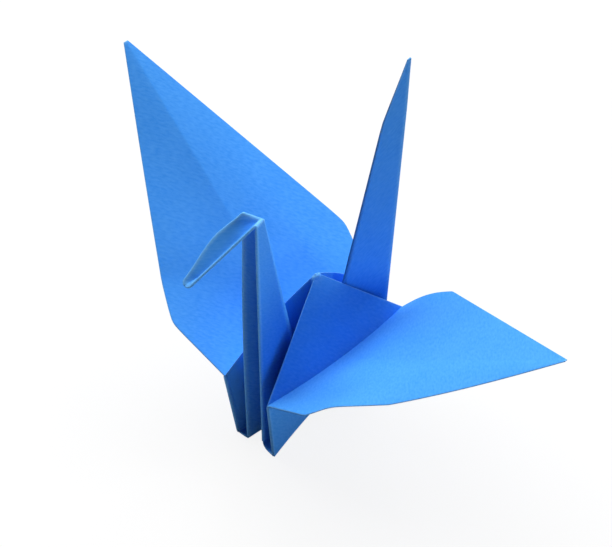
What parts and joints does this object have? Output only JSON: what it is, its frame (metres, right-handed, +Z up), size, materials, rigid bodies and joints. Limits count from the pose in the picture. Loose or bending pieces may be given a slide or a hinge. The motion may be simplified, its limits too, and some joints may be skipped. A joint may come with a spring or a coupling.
{
  "type": "origami bird",
  "caption": "Standing paper crane folded from one square of blue paper, with raised wings, a slender grooved neck and tail, a bent head and a hollow humped body.",
  "frame": {"origin": "on the ground under the middle of the bird's outline, with its four feet on Z = 0", "axes": "+X towards the bird's left wing, -Y the way its beak points, +Z up"},
  "size_m": [0.1082, 0.0518, 0.074],
  "materials": {
    "blue_paper": "matte uncoated, dyed through, blue on both sides"
  },
  "bodies": {
    "root": {"folded_sheet": "blue_paper"}
  },
  "joints": []
}
